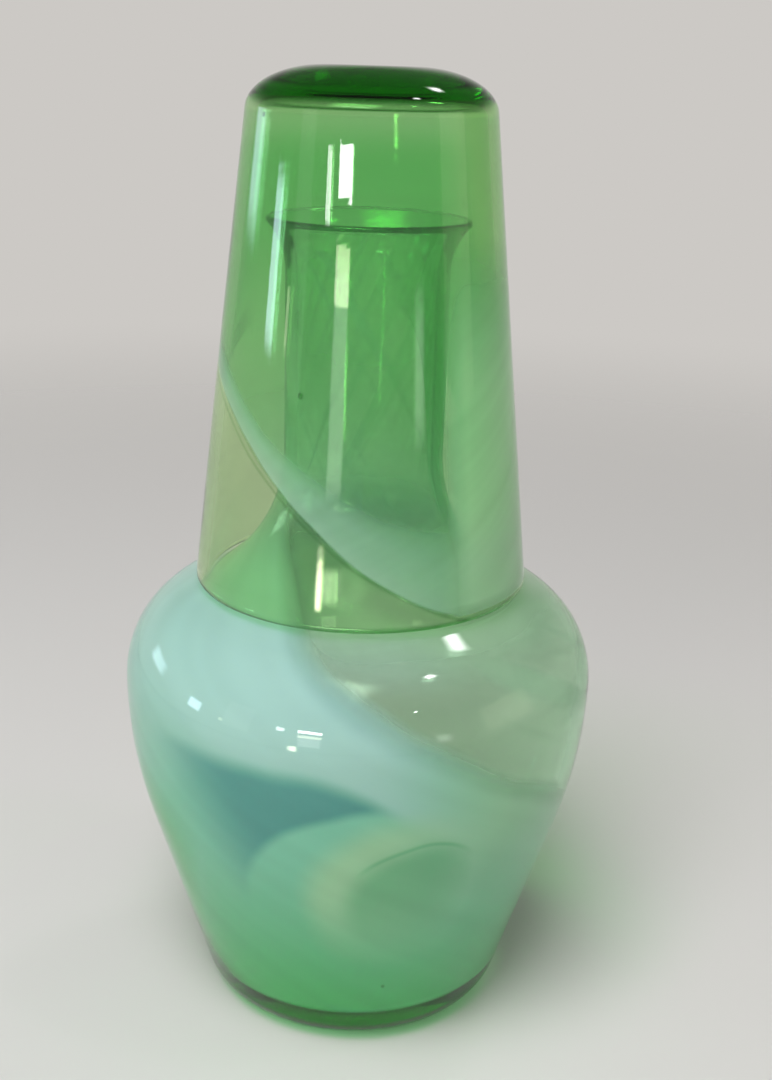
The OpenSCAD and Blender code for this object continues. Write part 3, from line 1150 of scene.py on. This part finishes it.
class CARAFE_OT_stage(bpy.types.Operator):
    """Set the floor, the studio light and the camera"""

    bl_idname = "carafe.stage"
    bl_label = "Stage"

    def execute(self, context):
        scene = context.scene
        stage = scene.carafe_stage
        scene.view_settings.view_transform = "Standard"
        scene.cycles.caustics_reflective = False
        scene.cycles.caustics_refractive = False
        scene.cycles.max_bounces = 32
        scene.cycles.glossy_bounces = 24
        scene.cycles.transmission_bounces = 24
        scene.cycles.transparent_max_bounces = 24
        self.floor(stage)
        self.world(stage)
        for box in SOFT_BOXES:
            hang(box)
        self.camera(stage)
        return {"FINISHED"}

    def floor(self, stage):
        """A round floor that fades into the background."""
        bm = turned([Vector((r, -FLOOR_DROP)) for r in (0, stage.floor_reach)], FLOOR_SEGMENTS, 0.0)
        material, nodes, output = new_material("pale floor")
        place = nodes.add("ShaderNodeTexCoord").outputs["Object"]
        away = nodes.add("ShaderNodeVectorMath", {0: place}, operation="LENGTH").outputs["Value"]
        inputs = {
            "Base Color": tuple(stage.floor_colour),
            "Roughness": 0.8,
            "Alpha": nodes.soft(away, *(stage.floor_reach * part for part in FLOOR_FADE)),
        }
        matt = nodes.add("ShaderNodeBsdfPrincipled", inputs)
        nodes.put(output.inputs["Surface"], matt.outputs[0])
        floor = mesh_object("studio_floor", bm, material)

    def world(self, stage):
        """A studio that is pale all round and dimmer overhead."""
        world = bpy.data.worlds.new("studio")
        world.use_nodes = True
        nodes = Tree(world.node_tree)
        way = nodes.add("ShaderNodeTexCoord").outputs["Generated"]
        upward = nodes.add("ShaderNodeSeparateXYZ", {0: way}).outputs[2]
        pale = tuple(stage.background)
        dim = tuple(c * stage.ceiling for c in pale)
        shade = nodes.mix(nodes.soft(upward, *HORIZON_FADE), pale, dim)
        room = nodes.add("ShaderNodeBackground", {"Color": shade})
        nodes.put(nodes.add("ShaderNodeOutputWorld").inputs["Surface"], room.outputs[0])
        bpy.context.scene.world = world

    def camera(self, stage):
        """The camera at the photograph's place."""
        ahead = Vector((math.sin(stage.yaw), math.cos(stage.yaw), 0))
        right = Vector((math.cos(stage.yaw), -math.sin(stage.yaw), 0))
        up = Vector((0, 0, 1))
        forward = ahead * math.cos(stage.pitch) - up * math.sin(stage.pitch)
        above = ahead * math.sin(stage.pitch) + up * math.cos(stage.pitch)
        lean_right = right * math.cos(stage.roll) + above * math.sin(stage.roll)
        lean_up = above * math.cos(stage.roll) - right * math.sin(stage.roll)
        camera = new_object("camera", bpy.data.cameras.new("camera"))
        camera.data.lens = stage.lens
        camera.data.sensor_width = SENSOR_WIDTH
        turn = Matrix((lean_right, lean_up, -forward)).transposed().to_4x4()
        camera.matrix_world = Matrix.Translation((0, -stage.distance, stage.height)) @ turn
        bpy.context.scene.camera = camera


class CARAFE_PT_panel(bpy.types.Panel):
    """Lists the pieces of the set"""

    bl_idname = "CARAFE_PT_panel"
    bl_label = "Carafe"
    bl_space_type = "VIEW_3D"
    bl_region_type = "UI"
    bl_category = "Carafe"

    def draw(self, context):
        for operator in OPERATORS:
            self.layout.operator(operator.bl_idname)
        for name in PROPERTIES:
            box = self.layout.box()
            values = getattr(context.scene, name)
            for key in values.__annotations__:
                box.prop(values, key)


OPERATORS = (CARAFE_OT_stage, CARAFE_OT_carafe, CARAFE_OT_tumbler)
PROPERTIES = {
    "carafe_sizes": CarafeSizes,
    "tumbler_sizes": TumblerSizes,
    "glass_finish": GlassFinish,
    "carafe_stage": StageSettings,
}


def register():
    for made in (*PROPERTIES.values(), *OPERATORS, CARAFE_PT_panel):
        bpy.utils.register_class(made)
    for name, made in PROPERTIES.items():
        setattr(bpy.types.Scene, name, PointerProperty(type=made))


def unregister():
    for name in PROPERTIES:
        delattr(bpy.types.Scene, name)
    for made in (CARAFE_PT_panel, *reversed(OPERATORS), *reversed(PROPERTIES.values())):
        bpy.utils.unregister_class(made)


def main():
    register()
    bpy.ops.carafe.stage()
    bpy.ops.carafe.carafe()
    bpy.ops.carafe.tumbler()


if __name__ == "__main__":
    main()
